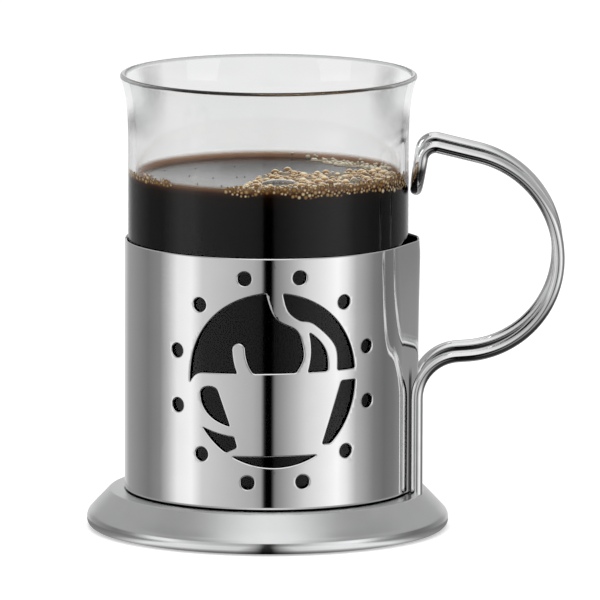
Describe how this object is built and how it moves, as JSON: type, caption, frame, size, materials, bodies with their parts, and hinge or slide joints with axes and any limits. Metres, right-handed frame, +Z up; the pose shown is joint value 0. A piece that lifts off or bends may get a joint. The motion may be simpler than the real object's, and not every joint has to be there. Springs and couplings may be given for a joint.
{
  "type": "coffee mug",
  "caption": "Coffee mug with a lift-out flared glass in a pierced, polished steel sleeve on a conical steel foot, with a double-wire handle that hooks in to the glass.",
  "frame": {"origin": "centre of the foot pad's flat underside, on the mug's axis at table height", "axes": "+Z up along the mug's axis, +X from the axis towards the handle, -Y out of the pierced front"},
  "size_m": [0.1191, 0.0904, 0.1143],
  "materials": {
    "clear_glass": "clear, fire-polished lip",
    "polished_steel": "mirror-polished stainless sheet",
    "bright_wire": "bright plated wire",
    "satin_steel": "satin stainless sheet",
    "zinc_plate": "zinc-plated fastener",
    "silicone": "milky silicone",
    "pad_rubber": "matt black rubber"
  },
  "bodies": {
    "holder": {"foot_pad": "pad_rubber", "base_shell": "satin_steel", "base_nut": "zinc_plate", "base_washer": "zinc_plate", "sleeve": "polished_steel", "handle_wire": "bright_wire", "seat_plate": "satin_steel", "base_screw": "zinc_plate", "glass_cushion": "silicone"},
    "glass": {"glass_liner": "clear_glass"}
  },
  "joints": [
    {"name": "glass_lift", "type": "slide", "parent": "holder", "child": "glass", "axis": [0, 0, 1], "range_m": [0, 0.095]}
  ]
}
